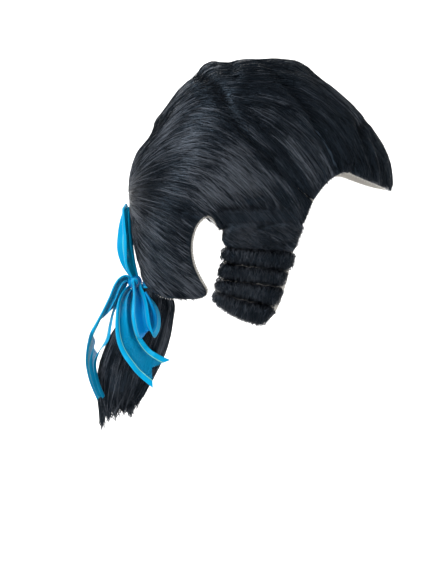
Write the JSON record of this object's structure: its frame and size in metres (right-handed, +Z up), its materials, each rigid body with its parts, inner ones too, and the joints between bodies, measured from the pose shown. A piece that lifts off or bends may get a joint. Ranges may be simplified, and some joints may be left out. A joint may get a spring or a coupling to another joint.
{
  "type": "queue wig with a ribbon bow",
  "caption": "Black hair wig on a pale knitted cap: swept-back hair, rolled curls on tabs before the ears, and a pony-tail at the nape tied with a blue ribbon bow.",
  "frame": {"origin": "the top of the inside of the cap, where the crown of the head seats", "axes": "+Z up along the worn head, +X the way the wearer faces, +Y the wearer's left; the cap, panels and curls mirror across the plane Y = 0"},
  "size_m": [0.2646, 0.181, 0.3256],
  "materials": {
    "hair": "combed long pile with a soft sheen",
    "knit": "fine matt knit",
    "ribbon": "sheer organza with satin edges"
  },
  "bodies": {
    "root": {"cap_backing": "knit", "back_panel": "hair", "crown_panel": "hair", "front_panel": "hair", "side_curl_right_1": "hair", "side_curl_right_2": "hair", "side_curl_right_3": "hair", "side_curl_right_4": "hair", "side_curl_right_5": "hair", "side_curl_left_1": "hair", "side_curl_left_2": "hair", "side_curl_left_3": "hair", "side_curl_left_4": "hair", "side_curl_left_5": "hair", "queue": "hair", "ribbon_band": "ribbon", "ribbon_knot": "ribbon", "bow_loop_upper": "ribbon", "bow_loop_lower": "ribbon", "ribbon_tail_side": "ribbon", "ribbon_tail_rear": "ribbon"}
  },
  "joints": []
}
